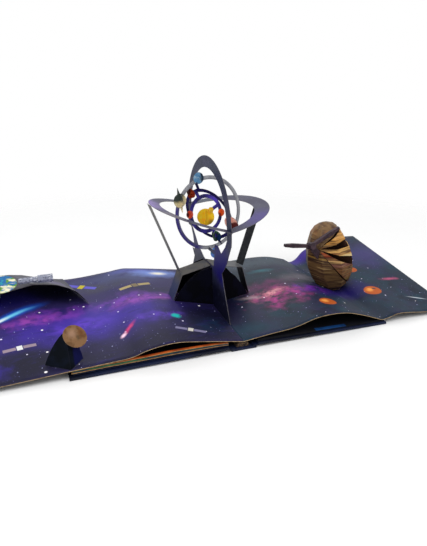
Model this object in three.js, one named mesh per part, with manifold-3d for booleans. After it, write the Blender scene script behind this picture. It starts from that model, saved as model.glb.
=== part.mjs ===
// Pop-up book about the planets, lying open at its last spread with both fold-out wings spread.
// Millimetres, +Z up. X runs across the spread to the right, Y from the reader's edge to the back.
// The origin is the centre of the spine board's underside.

import * as THREE from 'three';
import { mergeVertices } from 'three/addons/utils/BufferGeometryUtils.js';
import Module from 'manifold-3d';

const wasm = await Module();
wasm.setup();

// Case: two cover boards, a spine board and the cloth in the grooves

const coverReach = 217; // spine centre to a cover's outer edge
const coverHalf = 131; // half the book's height
const boardThickness = 3;
const spineWidth = 34;
const groove = 3; // gap between the spine board and a cover
const hingeLift = 3.4; // a cover's inner edge above the table
const clothThickness = 1;
const clothLap = 4; // cloth that lies on the spine board

// Paper

const card = 0.5; // thickness of the pop-up card and of the spread
const seat = 0.3; // gap between pieces that touch
const pageInset = 2; // spread kept back from the board's edges
const pageHalf = coverHalf - pageInset; // half height of the spread and wings
const wingReach = 332; // spine centre to a wing's outer edge
const gutterHalf = 20; // half width of the strip that bends in the gutter
const stationStep = 12; // spacing of the bends along a sheet
const leafInset = 1; // page block kept back from the spread's edges
const blockHalf = 9; // half width of the folded backs of the leaves

// Heights of the spread above the table, as [distance from the spine centre, height]

const spread = {
  left: {
    front: [[0, 11], [58, 21.3], [90, 25.4], [122, 22], [143.5, 15.8], [175, 13.7], [215, 11.7], [290, 7.6], [332, 6.5]],
    back: [[0, 17], [12, 19.4], [105, 33], [124, 30.8], [180, 26], [211, 27], [249, 35.6], [264, 40], [332, 46]],
  },
  right: {
    front: [[0, 11], [41, 15.4], [73, 18.5], [110, 27.5], [151, 26.8], [193, 14], [212, 6.9], [240, 12], [288, 7], [332, 6]],
    back: [[0, 17], [85, 23.3], [146, 23.7], [185, 14.9], [205, 6.9], [231, 28], [317, 45], [332, 43]],
  },
};

// Tops of the page blocks and the gaps between their fanned leaves, in the same form

const leftBlockTop = [[0, 10.5], [60, 15.5], [95, 17.5], [130, 15], [160, 12.4], [190, 11.4], [214, 10.7]];
const rightBlockTop = [[0, 10.4], [60, 8.8], [120, 6.2], [185, 5.2], [205, 5.9], [214, 5.9]];
const leafGaps = [
  { from: 46, to: 168, under: 1.3, height: 2.6 },
  { from: 38, to: 150, under: 5.6, height: 1.7 },
];
const blueLeaf = { from: 106, to: 153, depth: 6, thickness: 0.8 };

// Upright ring card in the gutter plane, with its foot

const ring = { y: 9, z: 132, outer: 93, inner: 77 };

// Outlines in the ring card's plane, as [Y, Z]

const ringFoot = [[-88, boardThickness], [98, boardThickness], [80, 44.7], [65, 73], [-50, 74]];
const backLeg = [[82, 109], [66, 97], [51.4, 84.8], [40.3, 80.7], [26.4, 74.6], [11.3, 71.5], [11, 60], [65, 60]];
const frontNotch = [[-84, 124], [-74.5, 106.7], [-69.1, 96.1], [-58.8, 83.5], [-50, 74.5], [-64, 50], [-110, 50],
  [-110, 124]];
const backNotch = [[65, 73], [73, 88], [86, 106], [120, 106], [120, 73]];
const blade = [[-70, 130], [-61.4, 116], [-46.6, 102.2], [-33, 110], [-21, 107], [-20, 91], [-17.5, 80], [-16, 60],
  [-50, 60], [-74, 100]];
const orbitArm = [[-24, 92.5], [7, 92], [7, 96], [-24, 99]]; // its forked tip holds the outer orbit

// Bridge and V-folds at the foot of the ring

const bridge = {
  top: 71,
  corners: { left: { reach: 43, height: 61 }, right: { reach: 49.5, height: 62 } },
  footReach: 66,
  yFront: -4.5,
  yBack: 23,
};
const vFold = { bottomOut: 10, base: 0, shoulderReach: 41, shoulderDrop: 4, fold: 0.3 };

// Level ring, its struts and the three orbits

const level = { y: 5, reach: 86, half: 90, band: 16, fold: 141.5, tilt: { left: 15.5, right: 11.5 }, holeShift: 3 };
const strut = { width: 14, turn: { left: -6, right: 24 }, y: 8, topReach: { left: 84, right: 80 } };
const orbits = {
  outer: { at: [1.6, 8, 145.5], facing: [-0.18, 0.98, -0.08], outer: 52.5, inner: 47 },
  middle: { at: [1.3, 8, 143.6], facing: [0.79, 0.52, 0.31], outer: 40.2, inner: 35.2 },
  inner: { at: [-2.5, 8, 144.9], facing: [-0.25, 0.95, -0.17], outer: 27.5, inner: 22 },
};
const sun = { at: [-0.9, 14, 138.3], radius: 12.3, spotRadius: 4, spot: [5.9, 11.2, 148.7] };
const orbitBridgeWidth = 5;

const planets = [
  { name: 'planet_ice', on: 'outer', at: [-13, 9, 195.5], radius: 8, color: 0x8fb6d4 },
  { name: 'planet_rust', on: 'middle', at: [-19.4, 22.1, 172.8], radius: 7.5, color: 0x8f3a24 },
  { name: 'planet_ringed', on: 'outer', at: [-42.5, 2, 168], radius: 9.5, ears: 18, color: 0xb9ab7d },
  { name: 'planet_ember', on: 'inner', at: [-29, 2, 147.2], radius: 5.5, color: 0xa8402f },
  { name: 'planet_orange', on: 'inner', at: [22.2, 14.5, 143], radius: 5.5, color: 0xc2502c },
  { name: 'planet_rose', on: 'middle', at: [24.5, -22.7, 136], radius: 11.5, color: 0xb98a86 },
  { name: 'planet_green', on: 'middle', at: [14, 8, 111.5], radius: 8.5, color: 0x2c5a66 },
  { name: 'planet_blue', on: 'outer', at: [9.5, 7, 86.5], radius: 8, color: 0x4a6fae },
];
const discSides = 20;

// Striped half-globe on the right wing's fold, and the probe in front of it

const globe = {
  base: [208, -8, 6],
  lean: 14,
  wall: 0.8,
  ridgeAt: 224,
  facets: 8,
  profile: [[0, 118], [15, 112], [23, 103], [29.5, 88], [34, 76], [37.5, 53], [33, 32], [25, 15], [9, 0]],
};
const fan = {
  at: [170, -5, 83.5],
  across: [0.94, -0.34, 0],
  bands: [
    { name: 'globe_cap', from: 43, to: 176, color: 0x7d6448 },
    { name: 'globe_gold', from: 17, to: 37, color: 0x9a7432 },
    { name: 'globe_cream', from: -14, to: 2, color: 0xb08a4a },
    { name: 'globe_belly', from: -47, to: -26, color: 0x6f4326 },
    { name: 'globe_base', from: -178, to: -49, color: 0x4a3c28 },
  ],
};
const probe = {
  hub: [147.7, -30, 91.9],
  hubSize: 11,
  arms: [
    { name: 'probe_arm_left', tip: [103.9, -30, 97.5], width: 6, depth: 5 },
    { name: 'probe_arm_right', tip: [191.3, -33, 116.6], width: 6, depth: 5 },
    { name: 'probe_arm_low', tip: [172, -24, 66], width: 11, depth: 3 },
  ],
};

// Left wing: moon on its stand, arch flap, globe disc and space telescope

const moonStand = {
  foot: [-214, -127], peak: [-215, -107, 52], left: [-241.5, -107], right: [-202, -107], blockHeight: 16,
};
const moon = { at: [-204.5, -108, 44.5], radius: 14.5, facing: [0.322, -0.589, 0.741], clear: 30 };
const flap = {
  yFront: 30,
  arch: [[172, null], [179, 33], [187, 43], [198, 50.5], [210, 56], [219, 58.5], [244, 62], [265, 58], [287, 54],
    [305, 46], [318, 36], [325, null]],
  backFrom: 200,
  clearance: 0.9,
  backBulge: 1.5,
};
const earth = { at: [-287, 35, 66], radius: 23, facing: [0.05, -0.2, 0.98] };
const telescope = { y: 37, from: 262, step: 237, to: 217, axisHeight: 66, radius: 4.4, bayRadius: 6 };

// Geometry helpers

const up = new THREE.Vector3(0, 0, 1);
const vec = (p) => new THREE.Vector3(...p);

function solid(geometry) {
  const bare = geometry.index ? geometry.toNonIndexed() : geometry.clone();
  for (const name of Object.keys(bare.attributes)) {
    if (name !== 'position') bare.deleteAttribute(name);
  }
  const merged = mergeVertices(bare, 1e-4);
  const index = merged.index.array;
  const triVerts = [];
  for (let i = 0; i < index.length; i += 3) {
    const [a, b, c] = [index[i], index[i + 1], index[i + 2]];
    if (a !== b && b !== c && c !== a) triVerts.push(a, b, c);
  }
  return new wasm.Manifold(new wasm.Mesh({
    numProp: 3,
    vertProperties: new Float32Array(merged.attributes.position.array),
    triVerts: new Uint32Array(triVerts),
  }));
}

function geometryOf(shape) {
  const mesh = shape.getMesh();
  const geometry = new THREE.BufferGeometry();
  geometry.setAttribute('position', new THREE.BufferAttribute(new Float32Array(mesh.vertProperties), 3));
  geometry.setIndex(new THREE.BufferAttribute(new Uint32Array(mesh.triVerts), 1));
  geometry.computeVertexNormals();
  return geometry;
}

function moved(shape, matrix) {
  return solid(geometryOf(shape).applyMatrix4(matrix));
}

function joined(shapes) {
  return shapes.reduce((sum, shape) => sum.add(shape));
}

// The largest piece that a cut leaves
function largest(shape) {
  const pieces = shape.decompose();
  return pieces.reduce((best, piece) => (piece.volume() > best.volume() ? piece : best));
}

// A flat plate: an outline in the plane of u and v through origin, its thickness centred on that plane
function plate(origin, u, v, outline, thickness) {
  const shape = outline instanceof THREE.Shape
    ? outline
    : new THREE.Shape(outline.map(([a, b]) => new THREE.Vector2(a, b)));
  const geometry = new THREE.ExtrudeGeometry(shape, { depth: thickness, bevelEnabled: false, curveSegments: 40 });
  geometry.translate(0, 0, -thickness / 2);
  const n = new THREE.Vector3().crossVectors(u, v);
  geometry.applyMatrix4(new THREE.Matrix4().makeBasis(u, v, n).setPosition(origin));
  return solid(geometry);
}

// A flat plate whose corners are given in space
function panel(corners, thickness) {
  const points = corners.map(vec);
  const u = points[1].clone().sub(points[0]).normalize();
  const n = u.clone().cross(points[2].clone().sub(points[0])).normalize();
  const v = n.clone().cross(u);
  const outline = points.map((p) => {
    const d = p.clone().sub(points[0]);
    return [d.dot(u), d.dot(v)];
  });
  if (THREE.ShapeUtils.area(outline.map(([a, b]) => new THREE.Vector2(a, b))) < 0) outline.reverse();
  return plate(points[0], u, v, outline, thickness);
}

// Points of a curve from p to q that leaves and arrives towards the control point
function bow(p, control, q, steps) {
  const curve = new THREE.QuadraticBezierCurve3(vec(p), vec(control), vec(q));
  return curve.getPoints(steps).map((point) => point.toArray());
}

// End faces of an outline that runs along a strip's top and back along its underside
function stripFaces(n) {
  const faces = [];
  for (let i = 0; i < n / 2 - 1; i += 1) faces.push([i, i + 1, n - 2 - i], [i, n - 2 - i, n - 1 - i]);
  return faces;
}

// A solid ruled between two outlines of [x, z] with as many points each
function ruled(front, back, yFront, yBack, isStrip = false) {
  const n = front.length;
  const positions = [];
  for (const [x, z] of front) positions.push(x, yFront, z);
  for (const [x, z] of back) positions.push(x, yBack, z);
  const contour = front.map(([x, z]) => new THREE.Vector2(x, z));
  const clockwise = THREE.ShapeUtils.isClockWise(contour);
  const faces = isStrip ? stripFaces(n) : THREE.ShapeUtils.triangulateShape(contour, []);
  const index = [];
  for (const [a, b, c] of faces) {
    const flip = THREE.ShapeUtils.isClockWise([contour[a], contour[b], contour[c]]);
    const [p, q, r] = flip ? [c, b, a] : [a, b, c];
    index.push(p, q, r, n + r, n + q, n + p);
  }
  for (let i = 0; i < n; i += 1) {
    const j = (i + 1) % n;
    if (clockwise) index.push(i, j, n + j, i, n + j, n + i);
    else index.push(j, i, n + j, n + j, i, n + i);
  }
  const geometry = new THREE.BufferGeometry();
  geometry.setAttribute('position', new THREE.Float32BufferAttribute(positions, 3));
  geometry.setIndex(index);
  return solid(geometry);
}

function box(x, y, z) {
  const geometry = new THREE.BoxGeometry(x[1] - x[0], y[1] - y[0], z[1] - z[0]);
  geometry.translate((x[0] + x[1]) / 2, (y[0] + y[1]) / 2, (z[0] + z[1]) / 2);
  return solid(geometry);
}

function disc(center, facing, radius, thickness, sides = discSides) {
  const geometry = new THREE.CylinderGeometry(radius, radius, thickness, sides);
  geometry.rotateX(Math.PI / 2);
  const turn = new THREE.Quaternion().setFromUnitVectors(up, vec(facing).normalize());
  geometry.applyQuaternion(turn);
  geometry.translate(...center);
  return solid(geometry);
}

function band({ at, facing, outer, inner }, thickness, grow = 0) {
  const shape = new THREE.Shape().absarc(0, 0, outer + grow, 0, 2 * Math.PI);
  shape.holes.push(new THREE.Path().absarc(0, 0, inner - grow, 0, 2 * Math.PI, true));
  const n = vec(facing).normalize();
  const v = up.clone().addScaledVector(n, -up.dot(n)).normalize();
  const u = v.clone().cross(n);
  return plate(vec(at), u, v, shape, thickness + 2 * grow);
}

// Heights along a profile, with a smooth bend through its points
function heightAt(profile, reach) {
  const slope = (i) => {
    const [a, b] = [profile[Math.max(i - 1, 0)], profile[Math.min(i + 1, profile.length - 1)]];
    return (b[1] - a[1]) / (b[0] - a[0]);
  };
  let i = 0;
  while (i < profile.length - 2 && reach > profile[i + 1][0]) i += 1;
  const [[x0, z0], [x1, z1]] = [profile[i], profile[i + 1]];
  const w = x1 - x0;
  const t = THREE.MathUtils.clamp((reach - x0) / w, 0, 1);
  const h = [2 * t ** 3 - 3 * t ** 2 + 1, t ** 3 - 2 * t ** 2 + t, -2 * t ** 3 + 3 * t ** 2, t ** 3 - t ** 2];
  return h[0] * z0 + h[1] * w * slope(i) + h[2] * z1 + h[3] * w * slope(i + 1);
}

const sideSign = { left: -1, right: 1 };

function spreadHeight(side, reach, y) {
  const { front, back } = spread[side];
  const t = (y + pageHalf) / (2 * pageHalf);
  return THREE.MathUtils.lerp(heightAt(front, reach), heightAt(back, reach), t);
}

// Distances from the spine at which a sheet's outline has a corner
function stations(side) {
  const list = [gutterHalf];
  while (list.at(-1) + stationStep < wingReach) list.push(list.at(-1) + stationStep);
  list[list.length - 1] = wingReach;
  return list;
}

// A layer that follows the spread from gutter to wing tip, between two offsets from its top face
function spreadLayer(side, topOffset, bottomOffset) {
  const sign = sideSign[side];
  const outline = (profile) => {
    const top = stations(side).map((reach) => [sign * reach, heightAt(profile, reach) + topOffset]);
    const bottom = stations(side).map((reach) => [
      sign * reach,
      bottomOffset === null ? -boardThickness : heightAt(profile, reach) + bottomOffset,
    ]);
    return [...top, ...bottom.reverse()];
  };
  return ruled(outline(spread[side].front), outline(spread[side].back), -pageHalf, pageHalf);
}

function gutterLayer(half, topOffset, bottomOffset) {
  const reaches = [half, half * 0.6, half * 0.3];
  const outline = (end) => {
    const xs = [
      ...reaches.map((reach) => [-reach, heightAt(spread.left[end], reach)]),
      [0, heightAt(spread.left[end], 0)],
      ...reaches.toReversed().map((reach) => [reach, heightAt(spread.right[end], reach)]),
    ];
    const top = xs.map(([x, z]) => [x, z + topOffset]);
    const bottom = xs.map(([x, z]) => [x, bottomOffset === null ? -boardThickness : z + bottomOffset]);
    return [...top, ...bottom.reverse()];
  };
  return ruled(outline('front'), outline('back'), -pageHalf, pageHalf);
}

// Everything under the spread's top face, plus the seat that pieces standing on it keep
const underSpread = joined([
  spreadLayer('left', seat, null),
  gutterLayer(gutterHalf, seat, null),
  spreadLayer('right', seat, null),
]);

const onSpread = (shape) => largest(shape.subtract(underSpread));

// The model

const model = new THREE.Group();

function add(name, shape, color, roughness = 0.6) {
  const material = new THREE.MeshStandardMaterial({ color, roughness, metalness: 0 });
  const mesh = new THREE.Mesh(geometryOf(shape), material);
  mesh.name = name;
  model.add(mesh);
}

const coverInner = spineWidth / 2 + groove;
const coverSlope = hingeLift / (coverReach - coverInner);
const coverTop = (reach) => boardThickness + coverSlope * (coverReach - reach);

function cover(side) {
  const sign = sideSign[side];
  const outline = [
    [sign * coverInner, hingeLift],
    [sign * coverReach, 0],
    [sign * coverReach, boardThickness],
    [sign * coverInner, hingeLift + boardThickness],
  ];
  return ruled(outline, outline, -coverHalf, coverHalf);
}

function grooveCloth(side) {
  const xs = [spineWidth / 2 - clothLap, coverInner - seat].map((reach) => sideSign[side] * reach);
  const z = [boardThickness + seat, boardThickness + seat + clothThickness];
  return box([Math.min(...xs), Math.max(...xs)], [-coverHalf, coverHalf], z);
}

// A page block: one solid that lies on the cover, with its top and the gaps between fanned leaves
function pageBlock(side, topProfile, gaps) {
  const sign = sideSign[side];
  const from = coverInner + seat;
  const to = topProfile.at(-1)[0];
  const half = pageHalf - leafInset;
  const reaches = [from, ...topProfile.slice(1).map(([reach]) => reach)];
  const top = reaches.map((reach) => [sign * reach, heightAt(topProfile, reach)]);
  const bottom = [[sign * to, coverTop(to) + seat], [sign * from, coverTop(from) + seat]];
  let block = ruled([...top, ...bottom], [...top, ...bottom], -half, half);
  for (const gap of gaps) {
    const steps = 8;
    const upper = [];
    const lower = [];
    for (let i = 0; i <= steps; i += 1) {
      const reach = THREE.MathUtils.lerp(gap.from, gap.to, i / steps);
      const roof = heightAt(topProfile, reach) - gap.under;
      const open = gap.height * Math.sin((Math.PI * i) / steps);
      upper.push([sign * reach, roof]);
      if (i > 0 && i < steps) lower.push([sign * reach, roof - open]);
    }
    const outline = [...upper, ...lower.reverse()];
    block = block.subtract(ruled(outline, outline, -coverHalf, coverHalf));
  }
  return largest(block);
}

// The folded backs of the leaves, glued to the spine board under the gutter
function leafBacks() {
  const outline = (end) => {
    const top = heightAt(spread.left[end], 0) - card - seat;
    const bottom = boardThickness + seat;
    return [[-blockHalf, bottom], [blockHalf, bottom], [blockHalf * 0.6, top], [-blockHalf * 0.6, top]];
  };
  const half = pageHalf - leafInset;
  return ruled(outline('front'), outline('back'), -half, half);
}

function blueLeafStrip() {
  const { from, to, depth, thickness } = blueLeaf;
  const at = (reach, lift) => [reach, heightAt(rightBlockTop, reach) + seat + lift];
  const outline = [at(from, 0), at((from + to) / 2, 0), at(to, 0),
    at(to, thickness), at((from + to) / 2, thickness), at(from, thickness)];
  const front = leafInset - pageHalf;
  return ruled(outline, outline, front, front + depth);
}

add('spine_board', box([-spineWidth / 2, spineWidth / 2], [-coverHalf, coverHalf], [0, boardThickness]), 0x131a30, 0.5);
add('groove_cloth_left', grooveCloth('left'), 0x10162a, 0.6);
add('groove_cloth_right', grooveCloth('right'), 0x10162a, 0.6);
add('leaf_backs', leafBacks(), 0xb79a6e, 0.85);
add('gutter_strip', gutterLayer(gutterHalf - seat, 0, -card), 0x2a2550);
add('cover_left', cover('left'), 0x141c36, 0.45);
add('cover_right', cover('right'), 0x141c36, 0.45);
add('page_block_left', pageBlock('left', leftBlockTop, leafGaps), 0xb08356, 0.85);
add('page_block_right', pageBlock('right', rightBlockTop, []), 0x1a2136, 0.85);
add('blue_leaf_right', blueLeafStrip(), 0x2f5f9c);
add('spread_left', spreadLayer('left', 0, -card), 0x3b2b78, 0.5);
add('spread_right', spreadLayer('right', 0, -card), 0x32405f, 0.5);

// Bridge strap over the foot of the ring card

function bridgeOutline(grow) {
  const { top, corners, footReach } = bridge;
  const line = [
    [-footReach, 0],
    [-corners.left.reach, corners.left.height],
    [0, top],
    [corners.right.reach, corners.right.height],
    [footReach, 0],
  ];
  const thickness = card + 2 * grow;
  const middle = line.map(([x, z]) => new THREE.Vector2(x, z));
  const side = (sign) => middle.map((p, i) => {
    const a = middle[Math.max(i - 1, 0)];
    const b = middle[Math.min(i + 1, middle.length - 1)];
    const n = new THREE.Vector2(-(b.y - a.y), b.x - a.x).normalize();
    return [p.x + n.x * sign * thickness / 2, p.y + n.y * sign * thickness / 2];
  });
  return [...side(1), ...side(-1).reverse()];
}

function bridgeStrap(grow) {
  const outline = bridgeOutline(grow);
  return ruled(outline, outline, bridge.yFront - grow, bridge.yBack + grow);
}

// A V-fold under one edge of the bridge: two panels that meet in the gutter plane
function vFoldSheet(edge, outward, thickness) {
  const past = vFold.fold * (vFold.bottomOut / bridge.footReach);
  const halves = [-1, 1].map((sign) => {
    const middle = -sign * vFold.fold;
    const apex = [middle, edge + outward * past, bridge.top - card - seat];
    const base = [middle, edge + outward * (vFold.bottomOut + past), vFold.base];
    const foot = [sign * bridge.footReach, edge, vFold.base];
    const shoulder = [sign * vFold.shoulderReach, edge, bridge.top - vFold.shoulderDrop];
    return panel([base, foot, ...bow(foot, shoulder, apex, 6).slice(1)], thickness);
  });
  return joined(halves);
}

const frontEdge = bridge.yFront - card - seat;
const backEdge = bridge.yBack + card + seat;
const vSheets = {
  v_fold_front: { edge: frontEdge, outward: -1 },
  v_fold_back: { edge: backEdge, outward: 1 },
};

// Ring card: the upright ring, its foot in the gutter and the post under the orbits

function ringCard() {
  const circle = new THREE.Shape().absarc(ring.y, ring.z, ring.outer, 0, 2 * Math.PI);
  const along = new THREE.Vector3(0, 1, 0);
  const origin = new THREE.Vector3(0, 0, 0);
  const hole = new THREE.Shape().absarc(ring.y, ring.z, ring.inner, 0, 2 * Math.PI);
  const sheet = (outline, thickness = card) => plate(origin, along, up, outline, thickness);
  const arm = sheet(orbitArm).subtract(band(orbits.outer, card, seat));
  let shape = sheet(circle).subtract(joined([sheet(hole, 3 * card), sheet(backNotch, 3 * card)]));
  shape = joined([shape, ...[ringFoot, backLeg, blade].map((outline) => sheet(outline)), arm]);
  shape = shape.subtract(sheet(frontNotch, 3 * card));
  shape = shape.subtract(bridgeStrap(seat));
  for (const { edge, outward } of Object.values(vSheets)) {
    shape = shape.subtract(vFoldSheet(edge, outward, card + 2 * seat));
  }
  return onSpread(shape);
}

add('ring_card', ringCard(), 0x2b2f52, 0.55);
add('bridge_strap', onSpread(bridgeStrap(0)), 0x4c4a55, 0.6);
for (const [name, { edge, outward }] of Object.entries(vSheets)) {
  add(name, onSpread(vFoldSheet(edge, outward, card)), 0x0c0d18, 0.7);
}

// Level ring: folded on the gutter plane, cut where the ring card passes through it

function levelRing() {
  const { y, reach, half: halfSpan, band: width, holeShift } = level;
  const shape = new THREE.Shape().absellipse(0, y, reach, halfSpan, 0, 2 * Math.PI, false, 0);
  const holeReach = reach - width - holeShift;
  shape.holes.push(new THREE.Path().absellipse(-holeShift, y, holeReach, halfSpan - width, 0, 2 * Math.PI, true, 0));
  const whole = plate(vec([0, 0, 0]), new THREE.Vector3(1, 0, 0), new THREE.Vector3(0, 1, 0), shape, card);
  const span = 2 * halfSpan;
  const half = (x, tilt) => {
    const cut = whole.intersect(box(x, [-span, span], [-span, span]));
    const matrix = new THREE.Matrix4().makeRotationY(THREE.MathUtils.degToRad(tilt)).setPosition(0, 0, level.fold);
    return moved(cut, matrix);
  };
  const halves = joined([half([-span, vFold.fold], level.tilt.left), half([-vFold.fold, span], -level.tilt.right)]);
  const slot = seat + card / 2;
  const inRing = box([-slot, slot], [ring.y - ring.outer - seat, ring.y + ring.outer + seat], [0, 2 * ring.z]);
  const bore = new THREE.Shape().absarc(ring.y, ring.z, ring.inner - seat, 0, 2 * Math.PI);
  const hole = plate(vec([0, 0, 0]), new THREE.Vector3(0, 1, 0), up, bore, 4 * slot);
  const rim = new THREE.Shape().absarc(ring.y, ring.z, ring.outer + seat, 0, 2 * Math.PI);
  const rimDisc = plate(vec([0, 0, 0]), new THREE.Vector3(0, 1, 0), up, rim, 2 * slot);
  return largest(halves.subtract(inRing.intersect(rimDisc).subtract(hole)));
}

add('level_ring', levelRing(), 0x4a4668, 0.55);

// Cuts a strut off below the level ring and above the bridge
function trimmedStrut(strip, side, sign) {
  const reach = 2 * level.reach;
  const tilt = THREE.MathUtils.degToRad(level.tilt[side]);
  const gap = seat + card / 2;
  const roof = [[0, level.fold - gap], [sign * reach, level.fold - gap + reach * Math.tan(tilt)],
    [sign * reach, 2 * reach], [0, 2 * reach]];
  const { reach: cornerReach, height } = bridge.corners[side];
  const fall = (bridge.top - height) / cornerReach;
  const floor = [[0, 0], [sign * reach, 0], [sign * reach, bridge.top + 2 * gap - fall * reach],
    [0, bridge.top + 2 * gap]];
  const limits = [roof, floor].map((outline) => ruled(outline, outline, -reach, reach));
  return largest(strip.subtract(joined(limits)));
}

// A strut from a corner of the bridge to the level ring
function strutStrip(side) {
  const sign = sideSign[side];
  const corner = bridge.corners[side];
  const topReach = strut.topReach[side];
  const tilt = THREE.MathUtils.degToRad(level.tilt[side]);
  const turn = THREE.MathUtils.degToRad(strut.turn[side]);
  const across = new THREE.Vector3(-sign * Math.sin(turn), Math.cos(turn), 0);
  const bottom = vec([sign * corner.reach, strut.y, corner.height]);
  const top = vec([sign * topReach, strut.y, level.fold + topReach * Math.tan(tilt)]);
  const along = top.clone().sub(bottom).normalize();
  const sideways = across.clone().addScaledVector(along, -across.dot(along)).normalize();
  const length = top.distanceTo(bottom);
  const half = strut.width / 2;
  const outline = [[-half, -half], [length + half, -half], [length + half, half], [-half, half]];
  const strip = plate(bottom, along, sideways, outline, card);
  return trimmedStrut(strip, side, sign);
}

for (const side of ['left', 'right']) add(`strut_${side}`, strutStrip(side), 0x33343d, 0.6);

// Orbits, with the card bridges between them, the planets and the sun

function spoke(orbit, direction, from, to, grow = 0) {
  const n = vec(orbit.facing).normalize();
  const u = direction.clone().addScaledVector(n, -direction.dot(n)).normalize();
  const v = n.clone().cross(u);
  const half = orbitBridgeWidth / 2 + grow;
  const outline = [[from, -half], [to, -half], [to, half], [from, half]];
  return plate(vec(orbit.at), u, v, outline, card + 2 * grow);
}

// Two card bridges that reach the next orbit where the two planes cross
function orbitBridges(orbit, next, grow) {
  const shared = vec(next.facing).cross(vec(orbit.facing)).normalize();
  return [shared, shared.clone().negate()].map((direction) => (
    spoke(orbit, direction, orbit.outer - 1, next.inner + 3, grow)
  ));
}

function bridgedOrbit(orbit, next) {
  const whole = joined([band(orbit, card), ...orbitBridges(orbit, next, 0)]);
  return largest(whole.subtract(band(next, card, seat)));
}

function innerOrbit() {
  const orbit = orbits.inner;
  const toSpot = vec(sun.spot).sub(vec(orbit.at));
  const inwards = spoke(orbit, toSpot, toSpot.length(), orbit.inner + 1);
  return largest(joined([bridgedOrbit(orbit, orbits.middle), inwards]).subtract(sunShape(seat)));
}

const clearOfOrbits = joined([
  ...Object.values(orbits).map((orbit) => band(orbit, card, seat)),
  ...orbitBridges(orbits.middle, orbits.outer, seat),
  ...orbitBridges(orbits.inner, orbits.middle, seat),
]);

function sunShape(grow) {
  const turn = THREE.MathUtils.degToRad(20);
  const facing = [-Math.sin(turn), -Math.cos(turn), 0];
  const across = [Math.cos(turn), -Math.sin(turn), 0];
  const thickness = card + 2 * grow;
  return joined([
    disc(sun.at, facing, sun.radius + grow, thickness, 28),
    disc(sun.at, across, sun.radius + grow, thickness, 28),
    disc(sun.spot, orbits.inner.facing, sun.spotRadius + grow, 3 * thickness),
  ]);
}

add('orbit_outer', band(orbits.outer, card), 0x77788c, 0.5);
add('orbit_middle', bridgedOrbit(orbits.middle, orbits.outer), 0x2b2550, 0.55);
add('orbit_inner', innerOrbit(), 0x3a2f80, 0.55);
add('sun', sunShape(0), 0xd9a514, 0.6);

// A planet: a disc glued to the face of its orbit, with a half disc standing across it
function planet({ on, at, radius, ears }) {
  const orbit = orbits[on];
  const n = vec(orbit.facing).normalize();
  if (n.y > 0) n.negate();
  const v = up.clone().addScaledVector(n, -up.dot(n)).normalize();
  const u = v.clone().cross(n);
  const lift = vec(at).sub(vec(orbit.at)).dot(n);
  const center = vec(at).addScaledVector(n, card + seat - lift);
  const half = new THREE.Shape().absarc(0, 0, radius, -Math.PI / 2, Math.PI / 2);
  const parts = [disc(center.toArray(), n.toArray(), radius, card), plate(center, n, v, half, card)];
  if (ears) {
    const axis = u.clone().multiplyScalar(0.17).sub(v).normalize();
    const side = n.clone().cross(axis);
    const wide = radius * 0.6;
    const slim = wide / 2;
    const lens = [[-ears, 0], [-wide, -slim], [wide, -slim], [ears, 0], [wide, slim], [-wide, slim]];
    parts.push(plate(center, axis, side, lens, card));
  }
  return largest(joined(parts).subtract(clearOfOrbits));
}

for (const spec of planets) add(spec.name, planet(spec), spec.color, 0.6);

// Half-globe of slatted bands around a crossed core

const globeFrame = new THREE.Matrix4()
  .makeRotationY(-THREE.MathUtils.degToRad(globe.lean))
  .setPosition(...globe.base);

function turned(profile) {
  const points = profile.map(([r, z]) => new THREE.Vector2(r, z));
  const geometry = new THREE.LatheGeometry(points, globe.facets);
  geometry.rotateX(Math.PI / 2);
  geometry.rotateZ(THREE.MathUtils.degToRad(globe.ridgeAt + 90));
  geometry.applyMatrix4(globeFrame);
  return solid(geometry);
}

// The globe's outline pushed in or out by an offset; its cut base stays at its height
function globeProfile(offset) {
  return globe.profile.map(([r, z], i) => {
    if (i === 0) return [0, z + offset];
    return [r + offset, i === globe.profile.length - 1 ? z : z + offset * (z > 55 ? 0.6 : -0.4)];
  });
}

function globeEnvelope(offset) {
  const profile = globeProfile(offset);
  return turned([[0, profile.at(-1)[1]], ...profile.reverse()]);
}

function globeShell() {
  const outer = globeProfile(0);
  const inner = globeProfile(-globe.wall);
  return turned([...inner, ...outer.reverse()]);
}

function wedge({ from, to }) {
  const reach = 160;
  const steps = Math.max(1, Math.ceil((to - from) / 45));
  const outline = [[0, 0]];
  for (let i = 0; i <= steps; i += 1) {
    const angle = THREE.MathUtils.degToRad(THREE.MathUtils.lerp(from, to, i / steps));
    outline.push([reach * Math.cos(angle), reach * Math.sin(angle)]);
  }
  return plate(vec(fan.at), vec(fan.across).normalize(), up, outline, 2 * reach);
}

function globeCore() {
  const inner = globeProfile(-globe.wall - seat);
  const tab = 8;
  const base = inner.at(-1)[1];
  const outline = [
    ...inner.toReversed(),
    ...inner.slice(1).map(([r, z]) => [-r, z]),
    [-tab, base],
    [-tab, base - 20],
    [tab, base - 20],
    [tab, base],
  ];
  const halves = [0, 90].map((turn) => {
    const angle = THREE.MathUtils.degToRad(globe.ridgeAt + turn);
    const u = new THREE.Vector3(Math.cos(angle), Math.sin(angle), 0);
    return plate(vec([0, 0, 0]), u, up, outline, card);
  });
  return onSpread(moved(joined(halves), globeFrame));
}

const shell = onSpread(globeShell());
for (const spec of fan.bands) add(spec.name, largest(shell.intersect(wedge(spec))), spec.color, 0.6);
add('globe_core', globeCore(), 0x241712, 0.8);

// Probe: a hub with three folded arms; the low arm reaches the globe

function beam(from, to, width, depth) {
  const axis = vec(to).sub(vec(from));
  const u = axis.clone().normalize();
  const v = new THREE.Vector3(0, -1, 0).cross(u).normalize();
  const length = axis.length();
  const outline = [[0, -width * 0.35], [length * 0.7, -width / 2], [length, -width * 0.3],
    [length, width * 0.3], [length * 0.7, width / 2], [0, width * 0.35]];
  return plate(vec(from), u, v, outline, depth);
}

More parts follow.
